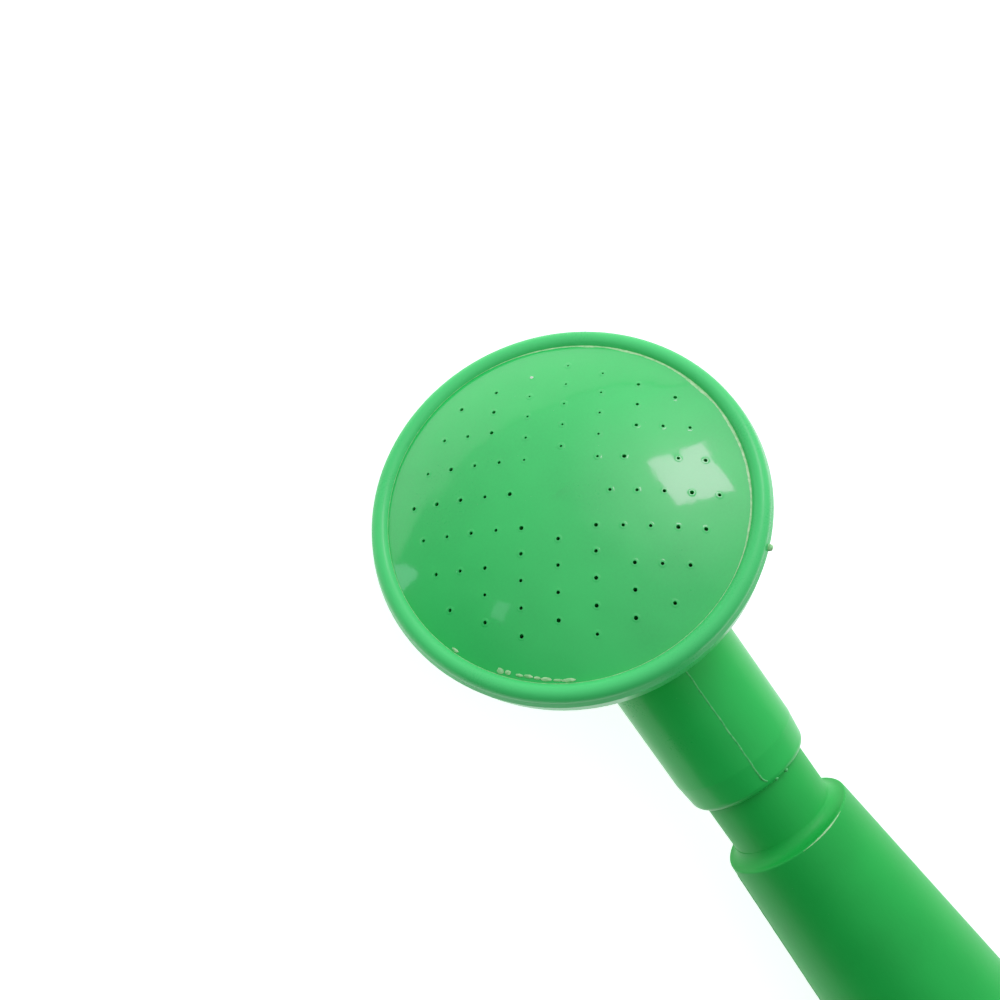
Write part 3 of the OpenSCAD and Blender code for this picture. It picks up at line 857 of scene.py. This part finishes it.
def shoulder_painted_highlight():
    """A low pale ridge along the lip round the barrel's shoulder: a painted highlight where the lip
    catches the light.
    """
    start, end, steps = 50, 98, 60
    path = []
    for i in range(steps + 1):
        angle = start + (end - start) * i / steps
        a = math.radians(angle)
        wobble = noise.noise(Vector((angle * 0.25, 0, 5)))
        strength = bump_at(angle, 73, 22) * (0.8 + 0.5 * wobble)
        out = Vector((math.cos(a), 0, math.sin(a)))
        normal = Vector((out.x, 0.45, out.z)).normalized()
        middle = out * (SHOULDER_R - LIP_R) + Vector((0, SHOULDER_Y - LIP_R, 0))
        half_width = (0.03 + 0.17 * strength) * MM
        path.append((middle + LIP_R * normal, normal, half_width, (-0.04 + 0.1 * strength) * MM))
    # Painted highlight: the pale flash colour on this ridge stands for the light that the lip catches
    piece = mesh_object("shoulder_painted_highlight", *ridge_mesh(path))
    finish_piece(piece, flash, "handle", "matte_green")


# ---------- grip, valve and hose nut ----------

def smooth_step(value, low, high):
    """0 below low, 1 above high and a smooth rise between them."""
    share = min(1.0, max(0.0, (value - low) / (high - low)))
    return share * share * (3 - 2 * share)


def grip():
    """The soft sleeve: finger waves, deepest underneath, and rows of small raised pads."""
    low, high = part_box("grip_sleeve")
    start = low.y
    length = high.y - low.y
    tube_r = 15 * MM
    thickness = 2.6 * MM
    wave_len, wave_start, wave_height = 24 * MM, 12 * MM, 0.9 * MM
    rear_height, rear_len = 3.9 * MM, 11 * MM
    front_height, front_len = 1.2 * MM, 9 * MM
    pitch, pad_height = 2.6 * MM, 0.3 * MM
    columns, rows, sectors = 144, 330, 24

    def outside(t, column):
        """Radius of the sleeve, t from its rear end."""
        angle = 2 * math.pi * column / columns
        under = 0.5 - 0.5 * math.sin(angle)
        swell = 1 - math.cos(2 * math.pi * (t - wave_start) / wave_len)
        wave = wave_height * (0.35 + 0.65 * under) * swell
        rear_flare = rear_height * math.exp(-(t / rear_len) ** 2)
        front_flare = front_height * math.exp(-((length - t) / front_len) ** 2)
        sector, part = divmod(column * sectors / columns, 1)
        row = math.cos(2 * math.pi * (t / pitch + 0.5 * (sector % 2)))
        pad = smooth_step(row, -0.25, 0.25) * smooth_step(min(part, 1 - part), 0.02, 0.17)
        seam = abs(abs((column / columns + 0.25) % 1 - 0.5) - 0.25) * columns
        field = smooth_step(t, 13 * MM, 15 * MM) * smooth_step(length - t, 10 * MM, 12 * MM)
        field *= smooth_step(seam, 2.5, 4.5)
        return tube_r + thickness + wave + rear_flare + front_flare + pad_height * pad * field

    edge = 0.8 * MM
    stations = [(0.0, -edge), (0.0, -0.3 * edge), (0.25 * edge, -0.08 * edge)]
    stations += [(edge + (length - 2 * edge) * i / rows, 0.0) for i in range(rows + 1)]
    stations += [(length - 0.25 * edge, -0.08 * edge), (length, -0.3 * edge), (length, -edge)]
    points = []
    for t, drop in stations:
        for column in range(columns):
            angle = 2 * math.pi * column / columns
            r = outside(t, column) + drop
            points.append(Vector((r * math.cos(angle), start + t, r * math.sin(angle))))
    for t in (length, 0.0):
        for column in range(columns):
            angle = 2 * math.pi * column / columns
            points.append(Vector((tube_r * math.cos(angle), start + t, tube_r * math.sin(angle))))
    faces = grid_faces(len(stations) + 2, columns, close_rows=True)
    piece = mesh_object("grip", points, faces)
    finish_piece(piece, materials["grip_rubber"], "handle", "grip_rubber", "grip_sleeve")


def thumb_ridges():
    """Five ridges across the lever's paddle."""
    origin = STEM.translation
    paddle_r, paddle_y, paddle_z, slope = 8, -54, 32.375, 1 / 16
    spacing, bare_edge, ridge_height = 2.75, 1.4, 0.55
    meshes = []
    for row in range(-2, 3):
        away = spacing * row
        half = math.sqrt(paddle_r ** 2 - away ** 2) - bare_edge
        path = []
        for i in range(25):
            x = half * (i / 12 - 1)
            height = ridge_height * math.sqrt(max(0.0, 1 - (x / half) ** 4))
            place = Vector((x, paddle_y - away, paddle_z + slope * away)) * MM
            path.append((origin + place, UP, 0.6 * MM, (height + 0.01) * MM))
        meshes.append(ridge_mesh(path))
    piece = mesh_object("thumb_ridges", *joined(meshes))
    finish_piece(piece, materials["dark_green"], "valve_key", "dark_green")


def nut_thread():
    """The hose thread inside the nut."""
    root_r, first_z = 13.6 * MM, 1.1 * MM
    half_width, depth = 0.85 * MM, 0.95 * MM
    pitch, turns, per_turn = 2.209 * MM, 4, 72
    path = []
    for i in range(turns * per_turn + 1):
        angle = 2 * math.pi * i / per_turn
        share = min(i, turns * per_turn - i) / (per_turn / 3)
        height = depth * smooth_step(share, 0, 1) + 0.02 * MM
        out = Vector((math.cos(angle), math.sin(angle), 0))
        place = out * root_r + Vector((0, 0, first_z + pitch * i / per_turn))
        path.append((WAND @ place, -(WAND.to_3x3() @ out), half_width, height))
    piece = mesh_object("nut_thread", *ridge_mesh(path))
    finish_piece(piece, materials["dark_green"], "hose_coupling", "dark_green")


LEVER_VOXEL = 0.32 * MM
LEVER_SMOOTHING = 14

# Nodes whose edges are rounded over: node, radius, body, slot
ROUNDED = (
    ("stem_gland", 0.35 * MM, "handle", "dark_green"),
    ("valve_body", 0.4 * MM, "handle", "satin_green"),
    ("hose_nut", 0.3 * MM, "hose_coupling", "dark_green"),
)


# ---------- put together ----------

bpy.context.scene.view_settings.view_transform = "Standard"
add_camera()
add_world()
add_floor()
add_softbox("window", *WINDOW_AT, size=(0.4, 0.34), power=2.6, colour=WINDOW_COLOUR, roll=31)
add_softbox("blue_spot", 123, 38, size=(0.13, 0.11), power=0.06, colour=BLUE)
add_softbox("blue_edge", 126, 2, size=(0.1, 0.2), power=0.15, colour=BLUE)
for cad_node in nodes.values():
    for cad_slot in cad_node.material_slots:
        cad_slot.material = materials[cad_slot.material.name]
hole_lips()
face_joint()
weld_lumps()
gate_burr()
lime_plug()
parting_line()
neck_fillet()
ejector_marks()
barrel_parting()
shoulder_painted_highlight()
grip()
thumb_ridges()
nut_thread()
lever = softened_copy("valve_lever", LEVER_VOXEL, LEVER_SMOOTHING)
finish_piece(lever, materials["dark_green"], "valve_key", "dark_green", "valve_lever")
for node, radius, body, slot in ROUNDED:
    finish_piece(rounded_copy(node, radius), materials[slot], body, slot, node)
